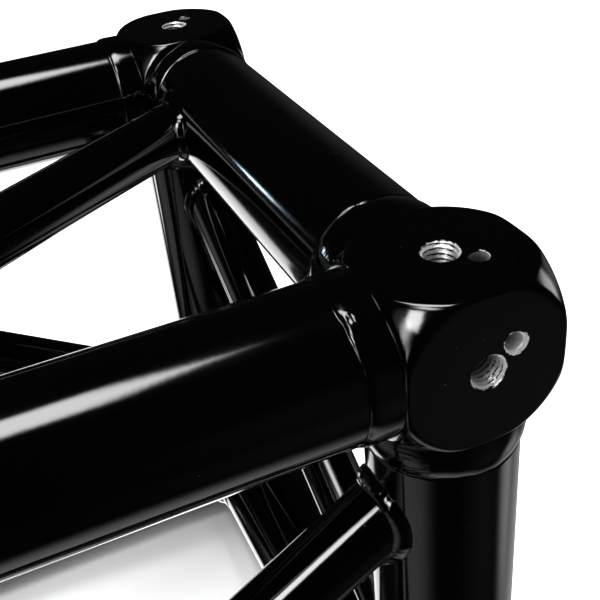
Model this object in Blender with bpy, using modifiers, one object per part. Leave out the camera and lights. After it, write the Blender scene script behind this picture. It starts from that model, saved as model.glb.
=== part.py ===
"""Lighting truss section.

A square box section of round aluminium tube: four chords along X, an end frame at each end,
a solid block with tapped faces at each of the eight corners, and welded lacing on every side.
Metres, +Z up, origin under the middle of the section on the surface that it stands on.
"""
import math

import bpy
from mathutils import Matrix, Vector

# Driving dimensions
LENGTH = 1.0            # over the corner blocks, along X
CHORD_SPACING = 0.25    # between chord centres, along Y and along Z
BLOCK = 0.052           # across the flats of a corner block
BLOCK_ROUND_R = 0.0374  # the ball that rounds a block's eight corners
BLOCK_EDGE = 0.0009     # chamfer along a block's straight edges
TUBE_D = 0.05           # chords, end rails and end posts
TUBE_WALL = 0.003
BRACE_D = 0.025         # lacing and end braces
BRACE_WALL = 0.0025
GAP = 0.0003            # left between pieces that touch

# The weld collar at each end of a 50 mm tube
COLLAR_LENGTH = 0.012
COLLAR_RISE = 0.0008
COLLAR_CREST = (0.3, 0.75)  # where its flat crest starts and ends, as shares of its length

# The tapped hole and the locating pin hole in each outer face of a block, with 45 degree mouths
TAP_R = 0.0051
TAP_MOUTH_R = 0.0061
TAP_DEPTH = 0.017
PIN_R = 0.003
PIN_MOUTH_R = 0.0033
PIN_DEPTH = 0.01
PIN_OFFSET = 0.0078     # from the face's centre towards the section's outer corner, both ways

# Where each side's outer lacing meets the end tubes, measured from the near chord's centre line
LACING_ANGLE = math.radians(31.5)
INSET_TOP = 0.047
INSET_FRONT = 0.053
INSET_BACK = 0.047

TUBE_SEGMENTS = 28
BRACE_SEGMENTS = 18
BALL_SEGMENTS = 40
HOLE_SEGMENTS = 16
PIN_SEGMENTS = 10
MERGE_DISTANCE = 0.00001
CUTTER_OVERSHOOT = 0.002  # how far a hole's cutter stands out of the face

BLACK = (0.008, 0.008, 0.009, 1.0)
GLOSSY = 0.18

# Worked out from the above
TUBE_R = TUBE_D / 2
BRACE_R = BRACE_D / 2
HALF_BLOCK = BLOCK / 2
END_X = LENGTH / 2 - HALF_BLOCK
SIDE_Y = CHORD_SPACING / 2
LOW_Z = HALF_BLOCK
HIGH_Z = HALF_BLOCK + CHORD_SPACING
MID_Z = (LOW_Z + HIGH_Z) / 2

ENDS = {"right": 1, "left": -1}
SIDES = {"front": -1, "back": 1}
LEVELS = {"bottom": -1, "top": 1}


def clear_scene():
    for item in list(bpy.data.objects):
        bpy.data.objects.remove(item, do_unlink=True)


def new_collection(name):
    collection = bpy.data.collections.new(name)
    bpy.context.scene.collection.children.link(collection)
    return collection


def black_powder_coat(name):
    material = bpy.data.materials.new(name + "_black")
    material.use_nodes = True
    shader = material.node_tree.nodes["Principled BSDF"]
    shader.inputs["Base Color"].default_value = BLACK
    shader.inputs["Roughness"].default_value = GLOSSY
    shader.inputs["Metallic"].default_value = 0.0
    return material


def link_piece(piece, collection, name):
    for owner in list(piece.users_collection):
        owner.objects.unlink(piece)
    collection.objects.link(piece)
    piece.name = name
    piece.data.name = name


def finish_piece(piece, collection, name):
    link_piece(piece, collection, name)
    piece.data.materials.append(black_powder_coat(name))
    piece.parent = SECTION


def as_cutter(piece, name):
    link_piece(piece, CUTTERS, name)
    piece.hide_render = True
    piece.display_type = "WIRE"
    return piece


def cut(piece, cutter, operation="DIFFERENCE"):
    boolean = piece.modifiers.new(operation.lower() + "_" + cutter.name, "BOOLEAN")
    boolean.operation = operation
    boolean.solver = "EXACT"
    boolean.object = cutter


def along(direction):
    """Rotation that turns +Z to the given direction."""
    return Vector(direction).to_track_quat("Z", "Y").to_matrix().to_4x4()


def turned(profile, segments, name):
    """An object turned about Z from (radius, height) points, outer side from top to bottom.

    A profile that starts on the axis is left open there, and any other one is closed.
    """
    mesh = bpy.data.meshes.new(name)
    points = [(radius, 0, height) for radius, height in profile]
    solid = profile[0][0] == 0
    edges = [(i, (i + 1) % len(points)) for i in range(len(points) - solid)]
    mesh.from_pydata(points, edges, [])
    piece = bpy.data.objects.new(name, mesh)
    bpy.context.scene.collection.objects.link(piece)
    screw = piece.modifiers.new("turn", "SCREW")
    screw.axis = "Z"
    screw.steps = segments
    screw.render_steps = segments
    screw.use_smooth_shade = True
    screw.use_merge_vertices = True
    screw.merge_threshold = MERGE_DISTANCE
    return piece


# Tubes between two blocks: chords, end rails and end posts

def tube_outline(half, grow=0.0):
    """(radius, height) points down the outside of a tube with a weld collar at each end."""
    crest = TUBE_R + COLLAR_RISE + grow
    skin = TUBE_R + grow
    upper = [(TUBE_R + COLLAR_RISE / 2 + grow, half)]
    upper += [(crest, half - COLLAR_LENGTH * share) for share in COLLAR_CREST]
    upper.append((skin, half - COLLAR_LENGTH))
    return upper + [(radius, -height) for radius, height in reversed(upper)]


def framed_tube(name, centre, axis, spacing):
    half = spacing / 2 - HALF_BLOCK - GAP
    bore = TUBE_R - TUBE_WALL
    profile = tube_outline(half) + [(bore, -half), (bore, half)]
    tube = turned(profile, TUBE_SEGMENTS, name)
    tube.matrix_world = Matrix.Translation(centre) @ along(axis)
    finish_piece(tube, PARTS, name)


def tube_cutter(name, centre, axis, spacing):
    """The space that a tube and its collars take up, for shaping the brace ends against it."""
    half = spacing / 2 - HALF_BLOCK
    profile = [(0, half)] + tube_outline(half, GAP) + [(0, -half)]
    cutter = turned(profile, TUBE_SEGMENTS, name)
    cutter.matrix_world = Matrix.Translation(centre) @ along(axis)
    return as_cutter(cutter, name)


def tube_places():
    """Name, centre, axis and spacing of every 50 mm tube."""
    places = []
    for side, y_sign in SIDES.items():
        for level, z_sign in LEVELS.items():
            centre = (0, y_sign * SIDE_Y, MID_Z + z_sign * CHORD_SPACING / 2)
            places.append((f"chord_{side}_{level}", centre, (1, 0, 0), 2 * END_X))
    for end, x_sign in ENDS.items():
        for level, z_sign in LEVELS.items():
            centre = (x_sign * END_X, 0, MID_Z + z_sign * CHORD_SPACING / 2)
            places.append((f"end_rail_{end}_{level}", centre, (0, 1, 0), CHORD_SPACING))
        for side, y_sign in SIDES.items():
            centre = (x_sign * END_X, y_sign * SIDE_Y, MID_Z)
            places.append((f"end_post_{end}_{side}", centre, (0, 0, 1), CHORD_SPACING))
    return places


# Corner blocks

def hole_cutter(name, place, mouth_r, bore_r, depth, segments):
    """A blind hole going down from z = 0, narrowing at 45 degrees from its mouth to its bore."""
    profile = [(0, CUTTER_OVERSHOOT), (mouth_r, CUTTER_OVERSHOOT), (mouth_r, 0),
               (bore_r, bore_r - mouth_r), (bore_r, -depth), (0, -depth)]
    cutter = turned(profile, segments, name)
    cutter.matrix_world = place
    return as_cutter(cutter, name)


def outer_faces(signs):
    """For each outer face of a block: its outward direction and its two in-plane outward ones."""
    axes = [Vector((signs[0], 0, 0)), Vector((0, signs[1], 0)), Vector((0, 0, signs[2]))]
    return [(axes[i], axes[(i + 1) % 3], axes[(i + 2) % 3]) for i in range(3)]


def block_centre(signs):
    return Vector((signs[0] * END_X, signs[1] * SIDE_Y, MID_Z + signs[2] * CHORD_SPACING / 2))


def block_cutter(name, signs):
    """The space that a block takes up, for shaping the brace ends against it."""
    bpy.ops.mesh.primitive_cube_add(size=BLOCK + 2 * GAP, location=block_centre(signs))
    return as_cutter(bpy.context.object, name)


def corner_block(name, signs):
    centre = block_centre(signs)
    bpy.ops.mesh.primitive_cube_add(size=BLOCK, location=centre)
    block = bpy.context.object
    bevel = block.modifiers.new("edges", "BEVEL")
    bevel.width = BLOCK_EDGE
    bevel.segments = 1
    bpy.ops.mesh.primitive_uv_sphere_add(segments=BALL_SEGMENTS, ring_count=BALL_SEGMENTS // 2,
                                         radius=BLOCK_ROUND_R, location=centre)
    ball = as_cutter(bpy.context.object, name + "_ball")
    ball.data.shade_smooth()
    cut(block, ball, "INTERSECT")
    for index, (out, first, second) in enumerate(outer_faces(signs)):
        middle = centre + out * HALF_BLOCK
        tap = hole_cutter(f"{name}_tap_{index}", Matrix.Translation(middle) @ along(out),
                          TAP_MOUTH_R, TAP_R, TAP_DEPTH, HOLE_SEGMENTS)
        cut(block, tap)
        pin_spot = middle + (first + second) * PIN_OFFSET
        pin = hole_cutter(f"{name}_pin_{index}", Matrix.Translation(pin_spot) @ along(out),
                          PIN_MOUTH_R, PIN_R, PIN_DEPTH, PIN_SEGMENTS)
        cut(block, pin)
    finish_piece(block, PARTS, name)


# Braces: thin tubes shaped at each end to the pieces that they are welded to

def brace(name, start, finish, hugged):
    """An open tube from start to finish, cut back to a gap around the hugged pieces."""
    start = Vector(start)
    finish = Vector(finish)
    length = (finish - start).length
    half = length / 2
    bore = BRACE_R - BRACE_WALL
    profile = [(BRACE_R, half), (BRACE_R, -half), (bore, -half), (bore, half)]
    tube = turned(profile, BRACE_SEGMENTS, name)
    tube.matrix_world = Matrix.Translation((start + finish) / 2) @ along(finish - start)
    for piece_name in hugged:
        cut(tube, bpy.data.objects["around_" + piece_name])
    finish_piece(tube, PARTS, name)


def zigzag(inset_right, inset_left):
    """Three brace lines on one long side, as (x, height over the far chord) pairs.

    Heights are measured across the side from the chord that the first brace runs to. The first
    brace leaves the right end tube near the other chord, and the last one mirrors it end for end.
    """
    slope = math.tan(LACING_ANGLE)
    foot = BRACE_R / math.sin(LACING_ANGLE) + 2 * GAP
    rise_right = CHORD_SPACING - inset_right
    rise_left = CHORD_SPACING - inset_left
    first_x = END_X - (rise_right - TUBE_R) / slope
    last_x = -END_X + (rise_left - TUBE_R) / slope
    low_x = first_x - 2 * foot
    high_x = last_x + 2 * foot
    return [((END_X, rise_right), (END_X - rise_right / slope, 0)),
            extend((low_x, TUBE_R), (high_x, CHORD_SPACING - TUBE_R)),
            ((-END_X + rise_left / slope, CHORD_SPACING), (-END_X, CHORD_SPACING - rise_left))]


def extend(low, high):
    """Stretch a brace line from chord surface to chord centre line at both ends."""
    ratio = TUBE_R / (high[1] - low[1])
    dx = (high[0] - low[0]) * ratio
    return (low[0] - dx, low[1] - TUBE_R), (high[0] + dx, high[1] + TUBE_R)


def long_side_lacing():
    """Each side's name, how its heights map to the section, its insets and its tubes."""
    def top(x, height):
        return x, height - SIDE_Y, HIGH_Z

    def front(x, height):
        return x, -SIDE_Y, LOW_Z + height

    def back(x, height):
        return x, SIDE_Y, HIGH_Z - height

    def bottom(x, height):
        return x, SIDE_Y - height, LOW_Z

    return [("top", top, INSET_TOP, INSET_TOP, "front_top", "back_top", "end_rail_{}_top"),
            ("front", front, INSET_FRONT, INSET_BACK, "front_bottom", "front_top", "end_post_{}_front"),
            ("back", back, INSET_BACK, INSET_FRONT, "back_top", "back_bottom", "end_post_{}_back"),
            ("bottom", bottom, INSET_TOP, INSET_TOP, "back_bottom", "front_bottom", "end_rail_{}_bottom")]


def make_lacing():
    for side, place, inset_right, inset_left, far, near, end_tube in long_side_lacing():
        far_chord = "chord_" + far
        near_chord = "chord_" + near
        hugged = [(end_tube.format("right"), "corner_block_right_" + near, far_chord),
                  (far_chord, near_chord),
                  (near_chord, end_tube.format("left"), "corner_block_left_" + far)]
        lines = zigzag(inset_right, inset_left)
        for number, ((start, finish), pieces) in enumerate(zip(lines, hugged), start=1):
            brace(f"lacing_{side}_{number}", place(*start), place(*finish), pieces)


def make_end_braces():
    """One brace across each end frame, from post to post, at the lacing's angle."""
    half_rise = CHORD_SPACING * math.tan(LACING_ANGLE) / 2
    for end, x_sign in ENDS.items():
        high_side, low_side = ("back", "front") if x_sign > 0 else ("front", "back")
        high = (x_sign * END_X, SIDES[high_side] * SIDE_Y, MID_Z + half_rise)
        low = (x_sign * END_X, SIDES[low_side] * SIDE_Y, MID_Z - half_rise)
        pieces = (f"end_post_{end}_{high_side}", f"end_post_{end}_{low_side}")
        brace(f"end_brace_{end}", high, low, pieces)


clear_scene()
PARTS = new_collection("lighting_truss_section")
CUTTERS = new_collection("cutters")
SECTION = bpy.data.objects.new("section", None)
PARTS.objects.link(SECTION)

for tube_name, tube_centre, tube_axis, tube_spacing in tube_places():
    framed_tube(tube_name, tube_centre, tube_axis, tube_spacing)
    tube_cutter("around_" + tube_name, tube_centre, tube_axis, tube_spacing)

for end_name, x_side in ENDS.items():
    for side_name, y_side in SIDES.items():
        for level_name, z_side in LEVELS.items():
            block_name = f"corner_block_{end_name}_{side_name}_{level_name}"
            corner_block(block_name, (x_side, y_side, z_side))
            block_cutter("around_" + block_name, (x_side, y_side, z_side))

make_lacing()
make_end_braces()
bpy.context.view_layer.update()
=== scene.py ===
"""The looks of the lighting truss section: gloss black powder coat over welded aluminium tube.

Every CAD node is stood for by one finer piece in the same place. The tubes get rippled weld
collars, the braces get beads round their joints, and the corner blocks get soft edges, M12
threads, pin holes and chipped coating. Metres, +Z up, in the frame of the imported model.
"""
import math

import bmesh
import bpy
import numpy as np
from mathutils import Matrix, Vector


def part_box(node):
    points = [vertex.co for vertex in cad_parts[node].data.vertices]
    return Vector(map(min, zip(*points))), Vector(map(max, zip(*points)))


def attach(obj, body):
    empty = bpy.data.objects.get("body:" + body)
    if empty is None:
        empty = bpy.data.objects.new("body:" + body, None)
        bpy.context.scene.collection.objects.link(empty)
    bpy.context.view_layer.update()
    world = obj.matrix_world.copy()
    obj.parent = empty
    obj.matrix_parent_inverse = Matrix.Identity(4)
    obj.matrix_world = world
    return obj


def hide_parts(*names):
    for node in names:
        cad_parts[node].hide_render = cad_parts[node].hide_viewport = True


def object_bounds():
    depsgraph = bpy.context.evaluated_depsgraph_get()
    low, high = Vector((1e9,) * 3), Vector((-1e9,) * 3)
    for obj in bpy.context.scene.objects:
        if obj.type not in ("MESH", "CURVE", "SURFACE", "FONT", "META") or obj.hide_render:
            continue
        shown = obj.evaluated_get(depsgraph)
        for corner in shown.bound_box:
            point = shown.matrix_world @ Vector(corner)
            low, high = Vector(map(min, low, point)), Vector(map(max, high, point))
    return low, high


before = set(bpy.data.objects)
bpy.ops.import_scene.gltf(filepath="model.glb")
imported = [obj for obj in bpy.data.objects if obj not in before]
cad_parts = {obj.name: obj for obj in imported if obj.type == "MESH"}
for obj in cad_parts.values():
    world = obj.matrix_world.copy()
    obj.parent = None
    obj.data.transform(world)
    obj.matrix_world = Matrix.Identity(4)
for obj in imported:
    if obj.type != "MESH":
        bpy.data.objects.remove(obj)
cad_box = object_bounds()

MM = 0.001

# Tubes
TUBE_R = 25.0 * MM
TUBE_WALL = 3.0 * MM
BRACE_R = 12.5 * MM
BRACE_WALL = 2.5 * MM
HALF_BLOCK = 26.0 * MM
SINK = 0.5 * MM           # how far a tube's end runs into the block that it is welded to

# Lacing, as the solids have it: its angle, and where it meets the end tubes
LACING_ANGLE = math.radians(31.5)
INSET_TOP = 47.0 * MM
INSET_FRONT = 53.0 * MM
INSET_BACK = 47.0 * MM
GAP = 0.3 * MM

# Weld collars at the ends of the 50 mm tubes: length, rise, how round they are (0 is flat), where along
# them their knot is, and the depth of the groove at their toe
CHORD_WELD = (10.2 * MM, 0.90 * MM, 0.08, 0.8, 0.13 * MM)
RAIL_WELD = (13.4 * MM, 0.95 * MM, 0.25, 0.15, 0.45 * MM)
POST_WELD = (11.8 * MM, 1.35 * MM, 0.55, 0.5, 0.25 * MM)
TOE_WIDTH = 0.45 * MM
TOE_SHARPNESS = 7         # a collar stays level until near its toe, and rounds off there
TOE_ROUNDING = 0.6
EDGE_WANDER = 0.045       # how uneven a collar's length is, in long and in short waves, and its height
EDGE_CHATTER = 0.02
HEIGHT_WANDER = 0.10
RIPPLE = 0.04 * MM
RIPPLE_PITCH = 1.1 * MM
RIPPLE_SPACING = 3.0      # ripple pitches from one crescent to the next
RIPPLE_BOW = 3.0          # how far a crescent is bowed, as an angle
RIPPLE_SHARPNESS = 6      # how late the crescents fade out towards the toe
KNOT_RISE = 0.42 * MM     # a mound of rings where a weld starts, and a smaller one where it stops
KNOT_RING = 1.9 * MM      # from ring to ring
KNOT_GROOVES = 0.45       # how deep it is between them, as a share
KNOT_REACH = 4.2 * MM
KNOT_SQUASH = 1.3         # how much shorter a knot is along the tube than round it
SECOND_KNOT_SIZE = 0.5
SECOND_KNOT_ASIDE = 5.5 * MM
SECOND_KNOT_ALONG = 6.0 * MM
SECOND_KNOT_SHARE = 0.3   # how much of the first knot's place is added to that
TUBE_SEGMENTS = 128
RING_STEPS = ((0, 8, 0.5), (8, 15.5, 0.22), (15.5, 18, 0.8))  # from, to and step, in mm from a tube's end
COLLAR_REACH = 18.0 * MM  # how far those rings go
PLAIN_RINGS = 4           # on the rest of the tube

# Each kind of 50 mm tube: its slot, its weld, and which side its knots are on, where a positive number is
# away from the section's middle
TUBES = {"chord_": ("chord_tube", CHORD_WELD, (0, 0.5, 0.86)),
         "end_rail_": ("end_frame_tube", RAIL_WELD, (-0.86, 0, 0.5)),
         "end_post_": ("end_frame_tube", POST_WELD, (-0.8, 0.6, 0))}

# Beads round the ends of the braces
BEAD_RISE = 1.8 * MM      # half the thickness of a bead, and half its width
BEAD_HALF = 3.4 * MM
BEAD_LIFT = 0.9 * MM      # how far its middle stands off the corner that it fills
BEAD_PITCH = 2.6 * MM
BEAD_KNOT = 3.4 * MM      # half the length of the lumps where a bead was started and stopped
BEAD_KNOT_SHARES = (0.42, 0.30)
BEAD_WANDER = 0.09
BEAD_CHATTER = 0.035
BEAD_RIPPLE = 0.04
BEAD_STAGGER = 1.6        # how far its ripples are shifted along it, as an angle, and how far they are bowed
BEAD_BOW = 1.4
FEWEST_RIPPLES = 8
BEAD_POINTS = 150
BEAD_SIDES = 16
BRACE_SEGMENTS = 64
BRACE_SINK = 1.5 * MM     # how far a brace's end runs into the wall that it is welded to

# Corner blocks
BALL_R = 37.4 * MM
EDGE_SOFTNESS = 1.1 * MM  # how near two faces come before their edge rounds off
FACE_AROUND = 96          # points round each ring of a face
FLAT_RINGS = (0.3, 0.65, 0.88)  # rings on the flat, as shares of its outline
EDGE_INSETS = (1.7, 1.1, 0.7, 0.4, 0.15)  # rings near the outline, in mm inside it
ROUND_RINGS = (0.03, 0.07, 0.12, 0.2, 0.35, 0.55, 0.78, 1.0)  # from the outline to the cube's edge
FARTHEST_FLAT = 0.985     # how near the cube's edge the outline may come
NEAREST_SKIN = 0.9        # the surface is sought between these shares of half a block
FARTHEST_SKIN = 1.8
HALVINGS = 40
SEAM = 0.02 * MM          # points nearer than this are joined up
TAP_MINOR_R = 5.1 * MM
TAP_MAJOR_R = 6.0 * MM
TAP_MOUTH_R = 6.1 * MM
TAP_PITCH = 1.75 * MM
TAP_DEPTH = 17.0 * MM
TAP_STEP = 0.25           # in mm, between the rings that carve the thread
THREAD_STEEPNESS = 1.3    # leaves flats on the thread's crests and roots
THREAD_FLAT = 0.15
TAP_FLOOR = 0.3 * MM      # the last of a tapped hole's depth, which is narrower
TAP_FLOOR_SHARE = 0.8
TAP_AROUND = 40
PIN_R = 3.0 * MM
PIN_MOUTH_R = 3.3 * MM
PIN_DEPTH = 10.0 * MM
PIN_AROUND = 32
CUTTER_OVERSHOOT = 3.0 * MM
PIN_OFFSET = 7.8 * MM

ENDS = {"right": 1, "left": -1}
SIDES = {"front": -1, "back": 1}
LEVELS = {"bottom": -1, "top": 1}

# Camera: its lens and sensor in mm, its directions, and where it stands from the middle of the block that
# it looks at
LENS = 57.09
SENSOR = 36.0
NEAREST_SEEN = 10.0 * MM
CAMERA_RIGHT = Vector((0.9109, -0.4037, -0.0851))
CAMERA_FORWARD = Vector((0.2935, 0.7791, -0.5539))
CAMERA_STAND = Vector((-118.8, -199.7, 166.5)) * MM


# ---------------------------------------------------------------- camera

def add_camera():
    """Looks at the upper front block at the right-hand end, from above, in front and to its left."""
    camera = bpy.data.objects.new("camera", bpy.data.cameras.new("camera"))
    bpy.context.scene.collection.objects.link(camera)
    camera.data.lens = LENS
    camera.data.sensor_width = SENSOR
    camera.data.clip_start = NEAREST_SEEN
    right = CAMERA_RIGHT.normalized()
    forward = (CAMERA_FORWARD - right * CAMERA_FORWARD.dot(right)).normalized()
    up = right.cross(forward)
    turn = Matrix((right, up, -forward)).transposed().to_4x4()
    block = block_centre("right", "front", "top")
    camera.matrix_world = Matrix.Translation(block + CAMERA_STAND) @ turn
    bpy.context.scene.camera = camera


# ---------------------------------------------------------------- places, from the frame

def middle_of(node):
    low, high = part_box(node)
    return (low + high) / 2


def block_centre(end, side, level):
    return middle_of(f"corner_block_{end}_{side}_{level}")


# ---------------------------------------------------------------- mesh helpers

def waves(angle, seed, orders):
    """Smooth noise round a circle, between about -1 and 1, made of whole waves."""
    draw = np.random.default_rng(seed)
    total = np.zeros_like(angle)
    for order in orders:
        size = math.cos(draw.uniform(0, math.tau))
        total += size * np.cos(order * angle + draw.uniform(0, math.tau))
    return total / math.sqrt(len(orders))


def ring_mesh(name, points):
    """A closed skin over rings of points, shape (rings, around, 3), that joins up both ways."""
    rings, around, _ = points.shape
    index = np.arange(rings * around).reshape(rings, around)
    ahead = np.roll(index, -1, axis=0)
    quads = np.stack([index, np.roll(index, -1, axis=1), np.roll(ahead, -1, axis=1), ahead], axis=-1)
    mesh = bpy.data.meshes.new(name)
    mesh.from_pydata(points.reshape(-1, 3).tolist(), [], quads.reshape(-1, 4).tolist())
    mesh.validate()
    return mesh


def new_piece(name, mesh, sharp=40):
    """An object with smooth shading, and with sharp edges past an angle in degrees."""
    mesh.shade_smooth()
    mesh.set_sharp_from_angle(angle=math.radians(sharp))
    piece = bpy.data.objects.new(name, mesh)
    bpy.context.scene.collection.objects.link(piece)
    return piece


def face_outwards(mesh):
    """Turns a closed mesh's faces to point out of it."""
    work = bmesh.new()
    work.from_mesh(mesh)
    bmesh.ops.recalc_face_normals(work, faces=work.faces)
    work.to_mesh(mesh)
    work.free()


def settle(piece, material, node=None):
    """Paints a piece, rides it on the section and, if it stands for a node, hides that node."""
    piece.data.materials.clear()
    piece.data.materials.append(material)
    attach(piece, "root")
    if node:
        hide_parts(node)


def basis(axis):
    """Two unit vectors across an axis, as rows of an array, with the axis last."""
    axis = Vector(axis).normalized()
    first = axis.orthogonal().normalized()
    second = axis.cross(first)
    return np.array([first, second, axis])


# ---------------------------------------------------------------- tubes with weld collars

def ripples(angle, share, seed):
    """Faint crescents across a collar, in patches round it; share is from the block to the toe."""
    patch = np.clip(0.4 + 0.8 * waves(angle, seed + 4, (1, 2, 4)), 0, 1)
    turn = angle * TUBE_R / RIPPLE_PITCH * math.tau / RIPPLE_SPACING
    return RIPPLE * np.cos(turn + RIPPLE_BOW * share ** 2) * patch * (1 - share ** RIPPLE_SHARPNESS)


def knots(along, angle, place):
    """A mound of rings where the weld was started, and a smaller one beside it where it was stopped."""
    round_tube = (np.mod(angle + np.pi, math.tau) - np.pi) * TUBE_R
    second = SECOND_KNOT_SHARE * place + SECOND_KNOT_ALONG
    total = 0
    for spot, aside, size in ((place, 0, 1), (second, SECOND_KNOT_ASIDE, SECOND_KNOT_SIZE)):
        away = np.hypot(round_tube - aside, KNOT_SQUASH * (along - spot))
        mound = np.exp(-(away / KNOT_REACH) ** 2)
        grooved = 1 - KNOT_GROOVES + KNOT_GROOVES * np.cos(away / KNOT_RING * math.tau)
        total = total + size * KNOT_RISE * mound * grooved
    return total


def collar_height(along, angle, weld, seed):
    """How far a weld collar stands off the tube, by distance from the block and angle round.

    The angle is from where the weld was started and stopped, which leaves a knot of rings.
    """
    length, rise, roundness, knot_share, toe_depth = weld
    wander = EDGE_WANDER * waves(angle, seed + 1, (2, 3, 5))
    chatter = EDGE_CHATTER * waves(angle, seed + 2, (9, 14, 23))
    length = length * (1 + wander + chatter)
    share = np.clip(along / length, 0, 1)
    height = rise * (1 - roundness + roundness * np.sin(np.pi * share))
    height *= (1 - share ** TOE_SHARPNESS) ** TOE_ROUNDING
    height *= 1 + HEIGHT_WANDER * waves(angle, seed + 3, (3, 4, 7))
    height += ripples(angle, share, seed)
    height += knots(along, angle, knot_share * length)
    height = np.where(along < length, height, 0)
    toe = toe_depth * np.exp(-((along - length - TOE_WIDTH) / TOE_WIDTH) ** 2)
    return height - toe


def tube_stations(half):
    """Distances along a tube from its middle: close together on its collars, and far apart between them."""
    fine = np.concatenate([np.arange(*step) for step in RING_STEPS]) * MM
    plain = np.linspace(-half + COLLAR_REACH, half - COLLAR_REACH, PLAIN_RINGS)
    return np.concatenate([-half + fine, plain, half - fine[::-1]])


def framed_tube(node, material, weld, start, seed):
    """A tube with a bore and a weld collar at each end. start is the direction that its knots face."""
    low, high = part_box(node)
    size = high - low
    axis = max(range(3), key=lambda i: size[i])
    half = size[axis] / 2 + SINK
    rows = basis([float(i == axis) for i in range(3)])
    angle = np.arange(TUBE_SEGMENTS) * math.tau / TUBE_SEGMENTS
    along_grid, angle_grid = np.meshgrid(tube_stations(half), angle, indexing="ij")
    turned = angle_grid - math.atan2(start @ rows[1], start @ rows[0])
    radius = np.full_like(along_grid, TUBE_R)
    for end in (-1, 1):
        distance = half - SINK - end * along_grid
        radius += collar_height(distance, turned, weld, seed + 50 * end)
    inner = np.array([half, -half])
    along_grid = np.vstack([along_grid, np.repeat(inner[:, None], TUBE_SEGMENTS, axis=1)])
    angle_grid = np.vstack([angle_grid, angle_grid[:2]])
    radius = np.vstack([radius, np.full((2, TUBE_SEGMENTS), TUBE_R - TUBE_WALL)])
    local = np.stack([radius * np.cos(angle_grid), radius * np.sin(angle_grid), along_grid], axis=-1)
    mesh = ring_mesh(node + "_skin", local @ rows + np.array(middle_of(node)))
    face_outwards(mesh)
    settle(new_piece(node + "_finished", mesh, sharp=60), material, node)


def make_tubes(coats):
    """Chords, end rails and end posts. Each weld starts and stops in the same place on every corner."""
    middle = (cad_box[0] + cad_box[1]) / 2
    seed = 1000
    for node in sorted(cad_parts):
        outwards = np.copysign(1.0, np.array(middle_of(node) - middle))
        for kind, (slot, weld, knot_side) in TUBES.items():
            if node.startswith(kind):
                framed_tube(node, coats[slot], weld, np.array(knot_side) * outwards, seed)
        seed += 200


# ---------------------------------------------------------------- braces and their beads

def hit_cylinder(origin, direction, centre, axis, radius):
    """Distance from each origin along a direction to an endless cylinder, and the normal there."""
    offset = origin - centre
    ray = direction - axis * (direction @ axis)
    away = offset - np.outer(offset @ axis, axis)
    a = ray @ ray
    b = away @ ray
    c = (away ** 2).sum(1) - radius ** 2
    root = np.sqrt(np.maximum(b * b - a * c, 0))
    distance = np.where(b * b - a * c > 0, (-b - root) / a, np.inf)
    found = away + np.outer(np.where(np.isfinite(distance), distance, 0), ray)
    return distance, found / radius


def hit_cube(origin, direction, centre, half):
    """The same for a cube whose edges lie along the axes."""
    offset = origin - centre
    moving = np.abs(direction) > 1e-9
    with np.errstate(divide="ignore", invalid="ignore"):
        near = (-np.sign(direction) * half - offset) / direction
        far = (np.sign(direction) * half - offset) / direction
    near = np.where(moving, near, -np.inf)
    far = np.where(moving, far, np.inf)
    enter = near.max(1)
    inside = np.all(moving | (np.abs(offset) <= half), axis=1)
    distance = np.where((enter < far.min(1)) & (enter > 0) & inside, enter, np.inf)
    side = near.argmax(1)
    facing = np.zeros_like(origin)
    facing[np.arange(len(origin)), side] = -np.sign(direction)[side]
    return distance, facing


def first_hit(origin, direction, solids):
    """Distance from each origin along a direction to the nearest solid, and the normal there."""
    best = np.full(len(origin), np.inf)
    normal = np.zeros_like(origin)
    for hit, *shape in solids:
        distance, facing = hit(origin, direction, *shape)
        closer = distance < best
        best = np.where(closer, distance, best)
        normal[closer] = facing[closer]
    return best, normal


def bead_swell(around, length, seed):
    """How much a bead is swollen, by angle round the joint and angle round the bead's own section."""
    lumps = BEAD_WANDER * waves(around[0], seed, (2, 3, 5))
    lumps += BEAD_CHATTER * waves(around[0], seed + 1, (7, 9, 13))
    draw = np.random.default_rng(seed + 3)
    for share in BEAD_KNOT_SHARES:
        away = np.mod(around[0] - draw.uniform(0, math.tau) + math.pi, math.tau) - math.pi
        lumps += share * np.exp(-(away / math.tau * length / BEAD_KNOT) ** 2)
    ripples_round = max(FEWEST_RIPPLES, round(length / BEAD_PITCH))
    stagger = BEAD_STAGGER * waves(around[0], seed + 2, (1, 2, 4)) + BEAD_BOW * np.cos(around[1])
    patch = np.clip(0.45 + 0.9 * waves(around[0], seed + 4, (1, 2, 3)), 0, 1)
    return (1 + lumps) * (1 + BEAD_RIPPLE * patch * np.cos(ripples_round * around[0] + stagger))


def bead(name, path, brace_normal, solid_normal, material, seed):
    """A lumpy weld bead that runs once round the joint between a brace and what it meets."""
    spread = brace_normal + solid_normal
    spread /= np.linalg.norm(spread, axis=1)[:, None]
    centre = path + spread * BEAD_LIFT
    tangent = np.roll(centre, -1, axis=0) - np.roll(centre, 1, axis=0)
    step = np.linalg.norm(tangent, axis=1) / 2
    tangent /= np.linalg.norm(tangent, axis=1)[:, None]
    out = spread - tangent * (spread * tangent).sum(1)[:, None]
    out /= np.linalg.norm(out, axis=1)[:, None]
    side = np.cross(tangent, out)
    arc = np.concatenate([[0], np.cumsum(step)[:-1]])
    phase = arc / step.sum() * math.tau
    turn = np.arange(BEAD_SIDES) * math.tau / BEAD_SIDES
    around = np.meshgrid(phase, turn, indexing="ij")
    swell = bead_swell(around, step.sum(), seed)
    points = (centre[:, None] + out[:, None] * (swell * BEAD_RISE * np.cos(turn))[..., None]
              + side[:, None] * (swell * BEAD_HALF * np.sin(turn))[..., None])
    mesh = ring_mesh(name, points)
    face_outwards(mesh)
    settle(new_piece(name, mesh, sharp=80), material)


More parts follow.
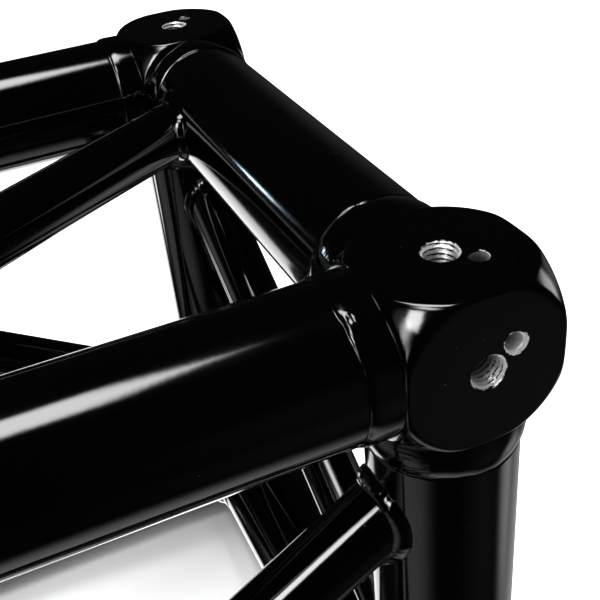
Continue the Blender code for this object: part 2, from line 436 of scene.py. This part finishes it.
def brace_end(middle, direction, facing, radius, solids):
    """A ring of points where a tube from the middle meets solids, and the solids' normals there."""
    origin = middle + facing * radius
    distance, normal = first_hit(origin, direction, solids)
    return origin + np.outer(distance, direction), normal


def ring_of(count, rows):
    """Directions round an axis, the last of three rows."""
    angle = np.arange(count) * math.tau / count
    return np.outer(np.cos(angle), rows[0]) + np.outer(np.sin(angle), rows[1])


def brace(node, start, finish, start_solids, finish_solids, material, seed):
    """A thin tube between two joints, each end shaped to the solids that it meets there."""
    start = np.array(start, float)
    finish = np.array(finish, float)
    middle = (start + finish) / 2
    rows = basis(finish - start)
    ways = (("start", -rows[2], start_solids), ("finish", rows[2], finish_solids))
    facing = ring_of(BRACE_SEGMENTS, rows)
    skins = []
    for radius in (BRACE_R, BRACE_R - BRACE_WALL):
        skins.append([brace_end(middle, direction, facing, radius, solids)[0] + direction * BRACE_SINK
                      for _, direction, solids in ways])
    outer, inner = skins
    mesh = ring_mesh(node + "_skin", np.stack(outer + inner[::-1]))
    face_outwards(mesh)
    settle(new_piece(node + "_finished", mesh), material, node)
    facing = ring_of(BEAD_POINTS, rows)
    for number, (end, direction, solids) in enumerate(ways):
        path, normal = brace_end(middle, direction, facing, BRACE_R, solids)
        bead(f"weld_{node}_{end}", path, facing, normal, material, seed + 9 * number)


def tube_solid(node):
    """How a ray meets one of the 50 mm tubes: the function for it, and what that needs."""
    low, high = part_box(node)
    size = high - low
    axis = np.array([float(size[i] == max(size)) for i in range(3)])
    return hit_cylinder, np.array(middle_of(node)), axis, TUBE_R


def block_solid(end, side, level):
    """The same for a corner block."""
    return hit_cube, np.array(block_centre(end, side, level)), HALF_BLOCK


def zigzag(inset_right, inset_left, reach, end_x):
    """Three brace lines on one long side, as (x, height over the far chord) pairs."""
    slope = math.tan(LACING_ANGLE)
    foot = BRACE_R / math.sin(LACING_ANGLE) + 2 * GAP
    rise_right = reach - inset_right
    rise_left = reach - inset_left
    low_x = end_x - (rise_right - TUBE_R) / slope - 2 * foot
    high_x = -end_x + (rise_left - TUBE_R) / slope + 2 * foot
    ratio = TUBE_R / (reach - 2 * TUBE_R)
    run = (high_x - low_x) * ratio
    return [((end_x, rise_right), (end_x - rise_right / slope, 0)),
            ((low_x - run, 0), (high_x + run, reach)),
            ((-end_x + rise_left / slope, reach), (-end_x, reach - rise_left))]


def make_lacing(material, end_x, side_y, low_z, high_z):
    """Three braces on each long side, which has its own layout, insets, chords and end tubes."""
    sides = {"top": (lambda x, h: (x, h - side_y, high_z), INSET_TOP, INSET_TOP,
                     "front_top", "back_top", "end_rail_{}_top"),
             "front": (lambda x, h: (x, -side_y, low_z + h), INSET_FRONT, INSET_BACK,
                       "front_bottom", "front_top", "end_post_{}_front"),
             "back": (lambda x, h: (x, side_y, high_z - h), INSET_BACK, INSET_FRONT,
                      "back_top", "back_bottom", "end_post_{}_back"),
             "bottom": (lambda x, h: (x, side_y - h, low_z), INSET_TOP, INSET_TOP,
                        "back_bottom", "front_bottom", "end_rail_{}_bottom")}
    seed = 300
    for side, (place, inset_right, inset_left, far, near, end_tube) in sides.items():
        far_chord = tube_solid("chord_" + far)
        near_chord = tube_solid("chord_" + near)
        right_corner = [tube_solid(end_tube.format("right")), block_solid("right", *near.split("_"))]
        left_corner = [tube_solid(end_tube.format("left")), block_solid("left", *far.split("_"))]
        joints = [(right_corner, [far_chord]), ([far_chord], [near_chord]), ([near_chord], left_corner)]
        lines = zigzag(inset_right, inset_left, high_z - low_z, end_x)
        for number, (line, solids) in enumerate(zip(lines, joints), 1):
            brace(f"lacing_{side}_{number}", place(*line[0]), place(*line[1]), *solids, material, seed)
            seed += 20


def make_end_braces(material, end_x, side_y, low_z, high_z):
    """One brace across each end frame, from post to post."""
    half_rise = (high_z - low_z) * math.tan(LACING_ANGLE) / 2
    middle_z = (low_z + high_z) / 2
    seed = 540
    for end, sign in ENDS.items():
        high_side, low_side = ("back", "front") if sign > 0 else ("front", "back")
        high = (sign * end_x, SIDES[high_side] * side_y, middle_z + half_rise)
        low = (sign * end_x, SIDES[low_side] * side_y, middle_z - half_rise)
        brace(f"end_brace_{end}", high, low, [tube_solid(f"end_post_{end}_{high_side}")],
              [tube_solid(f"end_post_{end}_{low_side}")], material, seed)
        seed += 20


def make_braces(material):
    """All the braces, laid out between the middles of the corner blocks."""
    corner = block_centre("right", "back", "top")
    foot = block_centre("right", "back", "bottom")
    make_lacing(material, corner.x, corner.y, foot.z, corner.z)
    make_end_braces(material, corner.x, corner.y, foot.z, corner.z)


# ---------------------------------------------------------------- corner blocks

def soft_max(first, second):
    """The larger of two distances, with a round edge where they are nearly the same."""
    overlap = np.maximum(EDGE_SOFTNESS - np.abs(first - second), 0) / EDGE_SOFTNESS
    return np.maximum(first, second) + overlap ** 2 * EDGE_SOFTNESS / 4


def block_distance(points):
    """Below zero inside a cube with soft edges whose corners are rounded off by a ball."""
    x, y, z = np.moveaxis(np.abs(points) - HALF_BLOCK, -1, 0)
    walls = soft_max(soft_max(x, y), z)
    return soft_max(walls, np.linalg.norm(points, axis=-1) - BALL_R)


def face_directions():
    """Rings of unit directions over the cube's +Z side, that follow the flat face's rounded outline."""
    angle = np.arange(FACE_AROUND) * math.tau / FACE_AROUND
    spread = np.maximum(np.abs(np.cos(angle)), np.abs(np.sin(angle)))
    outline = math.sqrt((BALL_R / HALF_BLOCK) ** 2 - 1)
    edge = np.minimum(outline * spread, FARTHEST_FLAT)
    rings = [edge * share for share in FLAT_RINGS]
    rings += [edge - inset * MM / HALF_BLOCK for inset in EDGE_INSETS]
    rings += [edge + (1 - edge) * share for share in ROUND_RINGS]
    u = np.array(rings) * np.cos(angle) / spread
    v = np.array(rings) * np.sin(angle) / spread
    points = np.stack([u, v, np.ones_like(u)], axis=-1).reshape(-1, 3)
    points = np.vstack([points, [[0, 0, 1]]])
    return points / np.linalg.norm(points, axis=1)[:, None], len(rings)


def reach_of(directions):
    """How far the block's surface is from its middle in each direction, found by halving."""
    near = np.full(len(directions), HALF_BLOCK * NEAREST_SKIN)
    far = np.full(len(directions), HALF_BLOCK * FARTHEST_SKIN)
    for _ in range(HALVINGS):
        half = (near + far) / 2
        outside = block_distance(directions * half[:, None]) > 0
        far = np.where(outside, half, far)
        near = np.where(outside, near, half)
    return near


def ring_faces(rings):
    """Faces between neighbouring rings, and from the innermost ring to the point in its middle."""
    faces = []
    for ring in range(rings - 1):
        for i in range(FACE_AROUND):
            here = ring * FACE_AROUND + i
            beside = ring * FACE_AROUND + (i + 1) % FACE_AROUND
            faces.append((here, beside, beside + FACE_AROUND, here + FACE_AROUND))
    hub = rings * FACE_AROUND
    faces += [(hub, i, (i + 1) % FACE_AROUND) for i in range(FACE_AROUND)]
    return faces


def block_skin():
    """Six faces of rings as one closed mesh, without its holes."""
    directions, rings = face_directions()
    face = directions * reach_of(directions)[:, None]
    faces = ring_faces(rings)
    turns = [np.eye(3), np.diag([1, -1, -1])]
    turns += [np.array([[0, 0, way], [1, 0, 0], [0, way, 0]]) for way in (1, -1)]
    turns += [np.array([[0, 1, 0], [0, 0, way], [way, 0, 0]]) for way in (1, -1)]
    work = bmesh.new()
    for turn in turns:
        points = [work.verts.new(point) for point in face @ turn.T]
        for corners in faces:
            work.faces.new([points[i] for i in corners])
    bmesh.ops.remove_doubles(work, verts=work.verts, dist=SEAM)
    bmesh.ops.recalc_face_normals(work, faces=work.faces)
    mesh = bpy.data.meshes.new("block_skin")
    work.to_mesh(mesh)
    work.free()
    return mesh


def bore_cutter(name, radii, heights, around, rows, spot):
    """A closed plug round the last of three rows, with its radius given by height and angle."""
    angle = np.arange(around) * math.tau / around
    work = bmesh.new()
    rings = []
    for height, radius in zip(heights, radii(np.array(heights)[:, None], angle[None, :])):
        level = np.full(around, height)
        local = np.stack([radius * np.cos(angle), radius * np.sin(angle), level], axis=-1)
        rings.append([work.verts.new(point) for point in local @ rows + spot])
    for upper, lower in zip(rings, rings[1:]):
        for i in range(around):
            j = (i + 1) % around
            work.faces.new((upper[i], upper[j], lower[j], lower[i]))
    work.faces.new(rings[0])
    work.faces.new(rings[-1][::-1])
    bmesh.ops.recalc_face_normals(work, faces=work.faces)
    mesh = bpy.data.meshes.new(name)
    work.to_mesh(mesh)
    work.free()
    cutter = bpy.data.objects.new(name, mesh)
    bpy.context.scene.collection.objects.link(cutter)
    return cutter


def tap_radius(height, angle):
    """M12 thread below a 45 degree mouth; height is below zero inside the block."""
    turn = height / TAP_PITCH - angle / math.tau
    wave = np.abs(np.mod(turn, 1) * 2 - 1)
    cut = np.clip(wave * THREAD_STEEPNESS - THREAD_FLAT, 0, 1)
    thread = TAP_MINOR_R + (TAP_MAJOR_R - TAP_MINOR_R) * cut
    thread = np.where(height < TAP_FLOOR - TAP_DEPTH, TAP_MINOR_R * TAP_FLOOR_SHARE, thread)
    return np.maximum(thread, TAP_MOUTH_R + np.minimum(height, 0))


def pin_radius(height, angle):
    """A plain hole below a 45 degree mouth."""
    return np.maximum(PIN_R, PIN_MOUTH_R + np.minimum(height, 0)) + 0 * angle


def block_mesh():
    """The corner block, centred on the origin, with its three outer faces towards +X, +Y and +Z."""
    block = bpy.data.objects.new("block_master", block_skin())
    bpy.context.scene.collection.objects.link(block)
    cutters = []
    tap_heights = [CUTTER_OVERSHOOT, 0.4 * MM, 0.0]
    tap_heights += list(-np.arange(TAP_STEP, TAP_DEPTH / MM, TAP_STEP) * MM) + [-TAP_DEPTH]
    pin_heights = [CUTTER_OVERSHOOT, 0.0, PIN_R - PIN_MOUTH_R, -PIN_DEPTH]
    unit = np.eye(3)
    for axis in range(3):
        rows = np.array([unit[(axis + 1) % 3], unit[(axis + 2) % 3], unit[axis]])
        top = unit[axis] * HALF_BLOCK
        spot = top + (rows[0] + rows[1]) * PIN_OFFSET
        cutters.append(bore_cutter(f"tap_{axis}", tap_radius, tap_heights, TAP_AROUND, rows, top))
        cutters.append(bore_cutter(f"pin_{axis}", pin_radius, pin_heights, PIN_AROUND, rows, spot))
    for cutter in cutters:
        boolean = block.modifiers.new(cutter.name, "BOOLEAN")
        boolean.operation = "DIFFERENCE"
        boolean.solver = "EXACT"
        boolean.object = cutter
    bpy.context.view_layer.update()
    mesh = bpy.data.meshes.new_from_object(block.evaluated_get(bpy.context.evaluated_depsgraph_get()))
    for item in cutters + [block]:
        bpy.data.objects.remove(item)
    return mesh


def block_turn(signs):
    """The rotation that turns the master's outer faces to the section's outer sides."""
    x, y, z = signs
    if x * y * z > 0:
        return Matrix(((x, 0, 0), (0, y, 0), (0, 0, z))).to_4x4()
    return Matrix(((0, x, 0), (y, 0, 0), (0, 0, z))).to_4x4()


def make_blocks(material):
    master = block_mesh()
    for end, x_sign in ENDS.items():
        for side, y_sign in SIDES.items():
            for level, z_sign in LEVELS.items():
                name = f"corner_block_{end}_{side}_{level}"
                piece = new_piece(name + "_finished", master.copy(), sharp=32)
                turn = block_turn((x_sign, y_sign, z_sign))
                piece.matrix_world = Matrix.Translation(block_centre(end, side, level)) @ turn
                settle(piece, material, name)


# ---------------------------------------------------------------- materials

class Nodes:
    """Short calls for building a node tree."""

    def __init__(self, tree):
        self.tree = tree

    def add(self, kind, **values):
        node = self.tree.nodes.new(kind)
        for name, value in values.items():
            setattr(node, name, value)
        return node

    def link(self, source, target):
        self.tree.links.new(source, target)

    def feed(self, socket, value):
        if isinstance(value, bpy.types.NodeSocket):
            self.link(value, socket)
        else:
            socket.default_value = value

    def math(self, operation, *values):
        node = self.add("ShaderNodeMath", operation=operation)
        for socket, value in zip(node.inputs, values):
            self.feed(socket, value)
        return node.outputs[0]

    def dot(self, vector, direction):
        node = self.add("ShaderNodeVectorMath", operation="DOT_PRODUCT")
        self.feed(node.inputs[0], vector)
        node.inputs[1].default_value = direction
        return node.outputs["Value"]

    def noise(self, vector, scale, detail=2.0, roughness=0.5):
        node = self.add("ShaderNodeTexNoise")
        self.feed(node.inputs["Vector"], vector)
        node.inputs["Scale"].default_value = scale
        node.inputs["Detail"].default_value = detail
        node.inputs["Roughness"].default_value = roughness
        return node.outputs["Fac"]

    def ramp(self, value, low, high, out_low=0.0, out_high=1.0):
        node = self.add("ShaderNodeMapRange", interpolation_type="SMOOTHSTEP")
        for socket, item in zip(node.inputs, (value, low, high, out_low, out_high)):
            self.feed(socket, item)
        return node.outputs["Result"]

    def mix(self, share, first, second):
        node = self.add("ShaderNodeMix", data_type="RGBA")
        self.feed(node.inputs[0], share)
        self.feed(node.inputs[6], first)
        self.feed(node.inputs[7], second)
        return node.outputs[2]

    def blend(self, share, first, second):
        node = self.add("ShaderNodeMix", data_type="FLOAT")
        for socket, value in zip((node.inputs[0], node.inputs[2], node.inputs[3]), (share, first, second)):
            self.feed(socket, value)
        return node.outputs[0]


# Coat and metal: colours, and roughness from least to most
COAT = (0.00010, 0.00010, 0.00012, 1.0)
COAT_GREY = (0.00022, 0.00022, 0.00028, 1.0)
DUST = (0.03, 0.03, 0.032, 1.0)
BARE = (0.78, 0.78, 0.78, 1.0)
BARE_DARK = (0.50, 0.47, 0.43, 1.0)
COAT_ROUGHNESS = (0.055, 0.10)
# painted shade: the dark colour that bare metal is blended towards deeper in the holes
PAINTED_SHADE_COLOUR = (0.05, 0.042, 0.036, 1.0)
CHIP_SHIFT = (0.0, -0.8 * MM, 0.9 * MM)  # the coat is knocked off more on one side of a pin hole
RING_PENALTY = 0.45 * MM  # how much smaller the chip is round the hole itself,
KNOCK_PENALTY = 0.15 * MM  # and round the place where it was knocked
SIDE_CHIP_R = 5.8 * MM    # how far the coat is off round a pin hole, before the noise is taken off
LEVEL_CHIP_R = 4.3 * MM   # the same on an upper or lower face
CHIP_EDGE = 0.06 * MM
TAP_CHIP = 0.30 * MM      # the chip round a tapped hole's mouth
TAP_CHIP_EDGE = 0.08 * MM
TAP_RAGGED = 1.2 * MM     # how far noise moves the chips' edges
PIN_RAGGED = 1.7 * MM
PIN_WANDER = 2.2 * MM
LEVEL_FROM = 14.0 * MM    # above this a pin hole belongs to an upper or lower face
TAP_SHADE = (17.0 * MM, 26.0 * MM)  # distances from the block's middle between which painted shade darkens the metal
SIDE_SHADE = 21.0 * MM    # where the painted shade in a pin hole is darkest, in a side face and in an upper or lower one
LEVEL_SHADE = 25.0 * MM
PIN_SHADE = 5.5 * MM      # over how much depth the painted shade deepens
DARKEST = 0.10
METAL_ROUGHNESS = (0.34, 0.44)
METALLIC = 0.7
IOR = 1.5
PEEL_STRENGTH = 0.25
PEEL_DISTANCE = 0.05 * MM
SPECKS = (0.80, 0.83)     # speck noise between these fades in, and above them is a speck
SPECK_PALENESS = 0.5
SPECK_ROUGHNESS = 0.25
COAT_SHIFT = (1.7, 0.9, 0.3)  # moves the noise, so that no two coats are the same

# Noise: its scale per metre, its detail and, where it isn't a half, its roughness
BROAD = (14.0, 3.0)
PEEL = (330.0, 1.5)
SPECK = (900.0, 1.0)
RAGGED = (750.0, 3.0, 0.6)
WANDER = (160.0, 1.0)
SCRATCH = (2600.0, 2.0)
MOTTLE = (3.0,)           # on the floor


def coat_parts(nodes, where, seed):
    """Colour, roughness and bump height of gloss powder coat, with orange peel and a few specks."""
    shifted = nodes.add("ShaderNodeVectorMath", operation="ADD")
    nodes.link(where, shifted.inputs[0])
    shifted.inputs[1].default_value = [seed * shift for shift in COAT_SHIFT]
    place = shifted.outputs[0]
    broad = nodes.noise(place, *BROAD)
    peel = nodes.noise(place, *PEEL)
    specks = nodes.ramp(nodes.noise(place, *SPECK), *SPECKS)
    colour = nodes.mix(nodes.ramp(broad, 0.35, 0.65), COAT, COAT_GREY)
    colour = nodes.mix(nodes.math("MULTIPLY", specks, SPECK_PALENESS), colour, DUST)
    roughness = nodes.ramp(broad, 0.3, 0.7, *COAT_ROUGHNESS)
    roughness = nodes.math("ADD", roughness, nodes.math("MULTIPLY", specks, SPECK_ROUGHNESS))
    return colour, roughness, peel


def new_material(name):
    """A material, short calls for its nodes, its shader and its object coordinates."""
    material = bpy.data.materials.new(name)
    material.use_nodes = True
    nodes = Nodes(material.node_tree)
    shader = material.node_tree.nodes["Principled BSDF"]
    where = nodes.add("ShaderNodeTexCoord").outputs["Object"]
    return material, nodes, shader, where


def finish_shader(nodes, shader, peel):
    """What both kinds of coat share: how they reflect, and their orange peel."""
    shader.inputs["IOR"].default_value = IOR
    bump = nodes.add("ShaderNodeBump")
    bump.inputs["Strength"].default_value = PEEL_STRENGTH
    bump.inputs["Distance"].default_value = PEEL_DISTANCE
    nodes.link(peel, bump.inputs["Height"])
    nodes.link(bump.outputs["Normal"], shader.inputs["Normal"])


def powder_coat(name, seed):
    """Gloss black powder coat all over."""
    material, nodes, shader, where = new_material(name)
    colour, roughness, peel = coat_parts(nodes, where, seed)
    nodes.link(colour, shader.inputs["Base Color"])
    nodes.link(roughness, shader.inputs["Roughness"])
    finish_shader(nodes, shader, peel)
    return material


def hole_distances(nodes, where):
    """Distance from the nearest tapped hole's axis, and from the nearest pin hole's, in metres."""
    split = nodes.add("ShaderNodeSeparateXYZ")
    nodes.link(where, split.inputs[0])
    taps = []
    pins = []
    for axis in range(3):
        first = split.outputs[(axis + 1) % 3]
        second = split.outputs[(axis + 2) % 3]
        for found, offset in ((taps, 0.0), (pins, PIN_OFFSET)):
            a = nodes.math("SUBTRACT", first, offset)
            b = nodes.math("SUBTRACT", second, offset)
            square = nodes.math("ADD", nodes.math("MULTIPLY", a, a), nodes.math("MULTIPLY", b, b))
            found.append(nodes.math("SQRT", square))
    nearest = []
    for group in (taps, pins):
        nearest.append(nodes.math("MINIMUM", nodes.math("MINIMUM", group[0], group[1]), group[2]))
    return nearest


def knocked_distance(nodes, where, pin):
    """Distance from the nearest pin hole, taken as less on the side where its coat was knocked."""
    knocked = nodes.add("ShaderNodeVectorMath", operation="ADD")
    nodes.link(where, knocked.inputs[0])
    knocked.inputs[1].default_value = CHIP_SHIFT
    beside = hole_distances(nodes, knocked.outputs[0])[1]
    beside = nodes.math("ADD", beside, KNOCK_PENALTY)
    return nodes.math("MINIMUM", nodes.math("ADD", pin, RING_PENALTY), beside)


def bare_share(nodes, world_place, tap, pin, height):
    """Where the coat is chipped off round the holes: 0 is coat, 1 is bare metal."""
    chip = nodes.ramp(height, HALF_BLOCK - 1.0 * MM, HALF_BLOCK - 0.5 * MM, SIDE_CHIP_R, LEVEL_CHIP_R)
    ragged = nodes.noise(world_place, *RAGGED)
    wander = nodes.noise(world_place, *WANDER)
    tap_edge = nodes.math("ADD", tap, nodes.math("MULTIPLY", ragged, TAP_RAGGED))
    pin_edge = nodes.math("ADD", pin, nodes.math("MULTIPLY", ragged, PIN_RAGGED))
    pin_edge = nodes.math("ADD", pin_edge, nodes.math("MULTIPLY", wander, PIN_WANDER))
    tap_chip = TAP_MOUTH_R + TAP_CHIP
    tap_bare = nodes.ramp(tap_edge, tap_chip + TAP_CHIP_EDGE, tap_chip)
    pin_bare = nodes.ramp(pin_edge, nodes.math("ADD", chip, CHIP_EDGE), chip)
    return nodes.math("MAXIMUM", tap_bare, pin_bare)


def painted_shade_by_depth(nodes, where, tap, pin, height):
    """Painted shade in the holes: how light the metal is, less with depth, and soonest so in an upper or
    lower pin hole.
    """
    length = nodes.add("ShaderNodeVectorMath", operation="LENGTH")
    nodes.link(where, length.inputs[0])
    from_middle = length.outputs["Value"]
    tap_painted_shade = nodes.ramp(from_middle, *TAP_SHADE, DARKEST, 1.0)
    level = nodes.math("GREATER_THAN", height, LEVEL_FROM)
    dark_from = nodes.ramp(level, 0.0, 1.0, SIDE_SHADE, LEVEL_SHADE)
    pin_painted_shade = nodes.ramp(from_middle, dark_from, nodes.math("ADD", dark_from, PIN_SHADE), DARKEST, 1.0)
    return nodes.blend(nodes.math("GREATER_THAN", tap, pin), tap_painted_shade, pin_painted_shade)


def block_coat(name, seed):
    """Powder coat that is chipped to bare metal round the holes, with bare threads in them, and painted
    shade that darkens the metal deeper in the holes.
    """
    material, nodes, shader, where = new_material(name)
    world_place = nodes.add("ShaderNodeNewGeometry").outputs["Position"]
    colour, roughness, peel = coat_parts(nodes, where, seed)
    tap, pin = hole_distances(nodes, where)
    pin = knocked_distance(nodes, where, pin)
    height = nodes.dot(where, (0, 0, 1))
    bare = bare_share(nodes, world_place, tap, pin, height)
    scratches = nodes.noise(world_place, *SCRATCH)
    metal = nodes.mix(nodes.ramp(scratches, 0.32, 0.5), BARE_DARK, BARE)
    # painted shade: the bare metal is darkened towards PAINTED_SHADE_COLOUR with depth in the holes
    metal = nodes.mix(painted_shade_by_depth(nodes, where, tap, pin, height), PAINTED_SHADE_COLOUR, metal)
    nodes.link(nodes.mix(bare, colour, metal), shader.inputs["Base Color"])
    nodes.link(nodes.math("MULTIPLY", bare, METALLIC), shader.inputs["Metallic"])
    metal_roughness = nodes.ramp(scratches, 0.3, 0.7, *METAL_ROUGHNESS)
    nodes.link(nodes.blend(bare, roughness, metal_roughness), shader.inputs["Roughness"])
    finish_shader(nodes, shader, peel)
    return material


# ---------------------------------------------------------------- studio

NO_DEPTH = 0.001          # keeps what is behind a window from dividing by nothing


def toward(azimuth, elevation):
    """A direction from its azimuth and elevation in degrees."""
    azimuth = math.radians(azimuth)
    elevation = math.radians(elevation)
    return Vector((math.cos(elevation) * math.cos(azimuth), math.cos(elevation) * math.sin(azimuth),
                   math.sin(elevation)))


def soft_window(nodes, ray, middle, across, half_across, half_up, power, strength):
    """Light from a soft-edged patch of the studio, oval up to a power of 2 and squarer above it."""
    middle = Vector(middle).normalized()
    across = Vector(across)
    across = (across - middle * across.dot(middle)).normalized()
    up = middle.cross(across)
    ahead = nodes.dot(ray, middle)
    depth = nodes.math("MAXIMUM", ahead, NO_DEPTH)
    total = 0.0
    for direction, half in ((across, half_across), (up, half_up)):
        offset = nodes.math("DIVIDE", nodes.dot(ray, direction), depth)
        share = nodes.math("DIVIDE", offset, half)
        square = nodes.math("MULTIPLY", share, share)
        square = nodes.math("POWER", square, power - 1.0) if power > 2 else square
        total = nodes.math("ADD", total, square)
    total = total if power > 2 else nodes.math("POWER", total, power)
    fade = nodes.math("EXPONENT", nodes.math("MULTIPLY", total, -1.0))
    fade = nodes.math("MULTIPLY", fade, nodes.math("GREATER_THAN", ahead, 0.0))
    return nodes.math("MULTIPLY", fade, strength)


# Each window: its direction, its own across, half its width and height, its hardness and its strength
WINDOWS = [
    (toward(-149.5, 38), toward(-59.5, 0), 0.115, 0.175, 4.0, 20.0),
    (toward(-155, 25), toward(-65, 0), 0.09, 0.20, 1.5, 8.5),
    (toward(-164, 31), toward(-74, 0), 0.12, 0.20, 1.5, 0.5),
    (toward(-150, 8), toward(-60, 0), 0.045, 0.16, 1.5, 3.2),
    (toward(-142, 61), toward(-52, 0), 0.16, 0.12, 1.5, 15.0),
    (toward(4, -3), toward(94, 0), 0.12, 0.17, 3.0, 3.0),
    (toward(17, -8), toward(107, 0), 0.20, 0.12, 1.5, 0.3),
    (toward(88, -44), toward(178, 0), 0.42, 0.36, 9.0, 2.4),
    (toward(126, -25), toward(36, 0), 0.06, 0.055, 1.5, 6.0),
    (toward(157, -28), toward(67, 0), 0.28, 0.20, 1.5, 0.4),
    (toward(145, -8), toward(55, 0), 0.20, 0.23, 1.5, 0.6),
    (toward(-165, -40), toward(-75, 0), 0.35, 0.35, 1.5, 0.5),
    (toward(-12, -41), toward(78, 0), 0.17, 0.17, 1.5, 0.9),
    (toward(25, -52), toward(115, 0), 0.40, 0.35, 1.5, 0.5),
    (toward(-57, -38), toward(33, 0), 0.35, 0.30, 1.0, 0.055),
    (toward(-72, -6), toward(18, 0), 0.22, 0.28, 1.5, 0.035),
    (toward(58, -2), toward(148, 0), 0.16, 0.28, 1.2, 0.034),
    ((0, 0, -1), (1, 0, 0), 0.40, 0.40, 2.0, 0.7),
]
SLIT = (toward(121.5, 4.2), toward(31.5, 0), 0.016, 0.022, 1.5, 50.0)
SLIT_TINT = (0.62, 0.84, 1.0, 1.0)
DARK_STUDIO = 0.009
ROOM_TINT = (1.0, 1.0, 1.0, 1.0)
PALE_ROOM = 1.15          # what everything but the gloss is lit by

# The softbox overhead: a broad strip along X with a pointed end towards +X, seen from the section
BOX_MIDDLE = 0.045        # where the strip's centre line is, as y over z
BOX_HALF = 0.190
BOX_POINT = 0.205         # where its point is, as x over z
BOX_TAPER = 0.70
BOX_BACK = 0.35
BOX_STRENGTH = 15.4
BOX_HARDNESS = 6.0


def pointed_box(nodes, ray):
    """Light from the overhead softbox, with crisp edges."""
    depth = nodes.math("MAXIMUM", nodes.dot(ray, (0, 0, 1)), NO_DEPTH)
    along = nodes.math("DIVIDE", nodes.dot(ray, (1, 0, 0)), depth)
    across = nodes.math("DIVIDE", nodes.dot(ray, (0, 1, 0)), depth)
    across = nodes.math("ABSOLUTE", nodes.math("SUBTRACT", across, BOX_MIDDLE))
    strip = nodes.math("DIVIDE", across, BOX_HALF)
    point = nodes.math("ADD", nodes.math("MULTIPLY", across, BOX_TAPER), along)
    point = nodes.math("DIVIDE", point, BOX_POINT)
    back = nodes.math("DIVIDE", along, -BOX_BACK)
    reach = nodes.math("MAXIMUM", nodes.math("MAXIMUM", strip, point), back)
    reach = nodes.math("POWER", reach, BOX_HARDNESS)
    fade = nodes.math("EXPONENT", nodes.math("MULTIPLY", reach, -1.0))
    return nodes.math("MULTIPLY", fade, BOX_STRENGTH)


def background(nodes, colour, strength):
    node = nodes.add("ShaderNodeBackground")
    node.inputs["Color"].default_value = colour
    nodes.link(strength, node.inputs["Strength"])
    return node.outputs[0]


def studio_world():
    """Pale surroundings for the floor, and softboxes in a dark room for the gloss to reflect."""
    world = bpy.data.worlds.new("studio")
    bpy.context.scene.world = world
    world.use_nodes = True
    nodes = Nodes(world.node_tree)
    world.node_tree.nodes.clear()
    ray = nodes.add("ShaderNodeTexCoord").outputs["Generated"]
    total = nodes.math("ADD", pointed_box(nodes, ray), DARK_STUDIO)
    for window in WINDOWS:
        total = nodes.math("ADD", total, soft_window(nodes, ray, *window))
    glossy = nodes.add("ShaderNodeLightPath").outputs["Is Glossy Ray"]
    room = background(nodes, ROOM_TINT, nodes.blend(glossy, PALE_ROOM, total))
    slit_light = nodes.math("MULTIPLY", soft_window(nodes, ray, *SLIT), glossy)
    both = nodes.add("ShaderNodeAddShader")
    nodes.link(room, both.inputs[0])
    nodes.link(background(nodes, SLIT_TINT, slit_light), both.inputs[1])
    output = nodes.add("ShaderNodeOutputWorld")
    nodes.link(both.outputs[0], output.inputs["Surface"])
    world.cycles.sampling_method = "NONE"


FLOOR_SIZE = 14.0
FLOOR_SQUARES = 8
FLOOR_ROUGHNESS = 0.8
FLOOR_SPECULAR = 0.1
FLOOR_PALE = ((0.86, 0.86, 0.86, 1.0), (0.90, 0.90, 0.90, 1.0))
FILL_SIZE = 2.4
FILL_WATTS = 130.0
FILL_PLACE = (0.3, 0.6, 2.6)


def add_floor():
    squares = FLOOR_SQUARES
    bpy.ops.mesh.primitive_grid_add(x_subdivisions=squares, y_subdivisions=squares, size=FLOOR_SIZE)
    floor = bpy.context.object
    floor.name = "floor"
    material, nodes, shader, where = new_material("pale_floor")
    nodes.link(nodes.mix(nodes.noise(where, *MOTTLE), *FLOOR_PALE), shader.inputs["Base Color"])
    shader.inputs["Roughness"].default_value = FLOOR_ROUGHNESS
    shader.inputs["Specular IOR Level"].default_value = FLOOR_SPECULAR
    floor.data.materials.append(material)
    floor.visible_glossy = False


def add_fill_light():
    """A big soft light for the floor. The gloss doesn't show it: its reflections are the studio's."""
    data = bpy.data.lights.new("fill", "AREA")
    data.shape = "DISK"
    data.size = FILL_SIZE
    data.energy = FILL_WATTS
    light = bpy.data.objects.new("fill", data)
    bpy.context.scene.collection.objects.link(light)
    light.location = FILL_PLACE
    light.rotation_euler = (-light.location).to_track_quat("-Z", "Y").to_euler()
    light.visible_glossy = False
    light.visible_camera = False


# ---------------------------------------------------------------- the section

add_camera()
coats = {slot: powder_coat(slot + "_black", seed)
         for seed, slot in enumerate(("chord_tube", "end_frame_tube", "brace_tube"), 1)}
make_tubes(coats)
make_braces(coats["brace_tube"])
make_blocks(block_coat("corner_block_black", 4))
studio_world()
add_floor()
add_fill_light()
bpy.context.scene.view_settings.view_transform = "Standard"
bpy.context.scene.cycles.caustics_reflective = False
